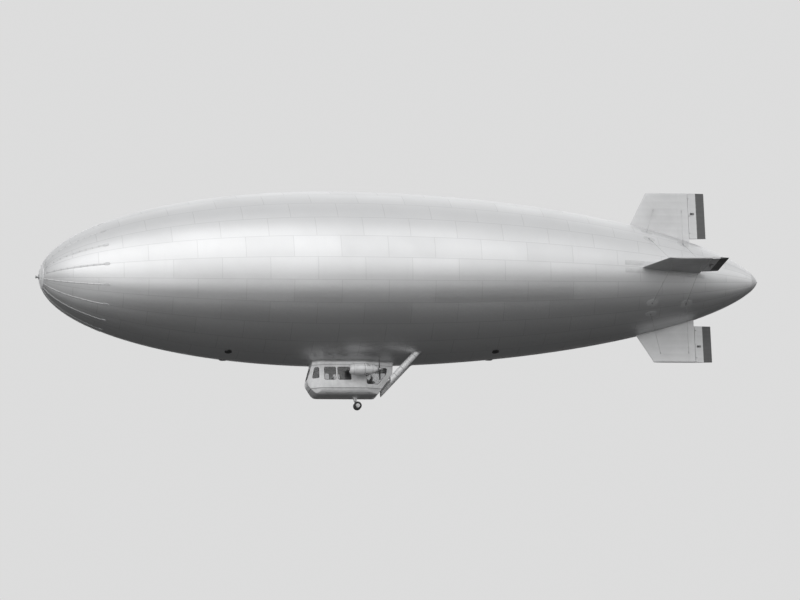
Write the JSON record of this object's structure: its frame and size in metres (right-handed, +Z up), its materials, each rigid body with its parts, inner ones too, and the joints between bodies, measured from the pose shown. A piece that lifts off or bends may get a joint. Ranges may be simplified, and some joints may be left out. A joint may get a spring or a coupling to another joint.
{
  "type": "non-rigid airship, 1:2 scale model",
  "caption": "Non-rigid airship at half scale: shell envelope with nose battens and fins, glazed car with a door, pusher propellers, air scoops and a castering wheel.",
  "frame": {"origin": "on the envelope's axis at its centre of lift, 13.49 m aft of the hull's nose", "axes": "+X to the nose, +Y to port, +Z up"},
  "size_m": [29.406, 7.62, 9.07],
  "materials": {
    "envelope_fabric": "coated cloth, dull silver",
    "fin_fabric": "doped cloth, silver",
    "surface_fabric": "doped cloth, dark",
    "car_paint": "satin",
    "dark_paint": "satin",
    "steel": "brushed",
    "engine_metal": "cast",
    "window": "clear",
    "seat_cloth": "woven",
    "tyre": "worn"
  },
  "bodies": {
    "ship": {"envelope": "envelope_fabric", "nose_dish": "car_paint", "mooring_spindle": "steel", "air_valve_fore_port": "dark_paint", "air_valve_fore_starboard": "dark_paint", "air_valve_aft_port": "dark_paint", "air_valve_aft_starboard": "dark_paint", "fin_top": "fin_fabric", "fin_bottom": "fin_fabric", "fin_port": "fin_fabric", "fin_starboard": "fin_fabric", "car_roof": "car_paint", "car_belly": "car_paint", "car_front_frame": "car_paint", "car_port_side": "car_paint", "car_starboard_side": "car_paint", "car_rear_panel": "car_paint", "window_port_front": "window", "window_port_middle": "window", "window_port_rear": "window", "window_starboard_front": "window", "window_starboard_rear": "window", "windshield_port": "window", "windshield_starboard": "window", "quarter_window_port": "window", "quarter_window_starboard": "window", "window_rear": "window", "seat_pilot": "seat_cloth", "seat_copilot": "seat_cloth", "seat_passenger_port": "seat_cloth", "seat_passenger_starboard": "seat_cloth", "rear_bench": "seat_cloth", "instrument_panel": "dark_paint", "elevator_wheel": "dark_paint", "hand_rail_port": "steel", "hand_rail_starboard": "steel", "nacelle_port": "car_paint", "nacelle_starboard": "car_paint", "engine_port": "engine_metal", "engine_starboard": "engine_metal", "outrigger_port": "car_paint", "outrigger_starboard": "car_paint", "air_scoop_port": "car_paint", "air_scoop_starboard": "car_paint", "landing_gear_leg": "car_paint"},
    "upper_rudder": {"rudder_top": "surface_fabric"},
    "lower_rudder": {"rudder_bottom": "surface_fabric"},
    "port_elevator": {"elevator_port": "surface_fabric"},
    "starboard_elevator": {"elevator_starboard": "surface_fabric"},
    "port_propeller": {"propeller_port": "dark_paint"},
    "starboard_propeller": {"propeller_starboard": "dark_paint"},
    "door": {"cabin_door": "car_paint", "window_door": "window"},
    "caster_fork": {"axle_fork": "steel"},
    "wheel": {"wheel_hubs": "car_paint", "tyre_port": "tyre", "tyre_starboard": "tyre"}
  },
  "joints": [
    {"name": "rudder_top_turn", "type": "hinge", "parent": "ship", "child": "upper_rudder", "pos_m": [-13.11114, 0, 2.7], "axis": [0, 0, 1], "range_deg": [-25, 25]},
    {"name": "rudder_bottom_turn", "type": "hinge", "parent": "ship", "child": "lower_rudder", "pos_m": [-13.11114, 0, -2.6], "axis": [0, 0, 1], "range_deg": [-25, 25]},
    {"name": "elevator_port_turn", "type": "hinge", "parent": "ship", "child": "port_elevator", "pos_m": [-13.11114, 2.8, 0], "axis": [0, 1, 0], "range_deg": [-25, 25]},
    {"name": "elevator_starboard_turn", "type": "hinge", "parent": "ship", "child": "starboard_elevator", "pos_m": [-13.11114, -2.8, 0], "axis": [0, 1, 0], "range_deg": [-25, 25]},
    {"name": "propeller_port_spin", "type": "hinge", "parent": "ship", "child": "port_propeller", "pos_m": [0.08886, 1, -3.95], "axis": [1, 0, 0], "continuous": true},
    {"name": "propeller_starboard_spin", "type": "hinge", "parent": "ship", "child": "starboard_propeller", "pos_m": [0.08886, -1, -3.95], "axis": [1, 0, 0], "continuous": true},
    {"name": "door_swing", "type": "hinge", "parent": "ship", "child": "door", "pos_m": [1.78886, -0.547, -4.1], "axis": [0, 0, 1], "range_deg": [0, 100]},
    {"name": "caster_swivel", "type": "hinge", "parent": "ship", "child": "caster_fork", "pos_m": [0.92886, 0, -5], "axis": [0, 0, 1], "continuous": true},
    {"name": "wheel_spin", "type": "hinge", "parent": "caster_fork", "child": "wheel", "pos_m": [0.84886, 0, -5.21], "axis": [0, 1, 0], "continuous": true}
  ],
  "couplings": [
    {"joint": "rudder_bottom_turn", "follows": "rudder_top_turn", "ratio": 1},
    {"joint": "elevator_starboard_turn", "follows": "elevator_port_turn", "ratio": 1}
  ]
}
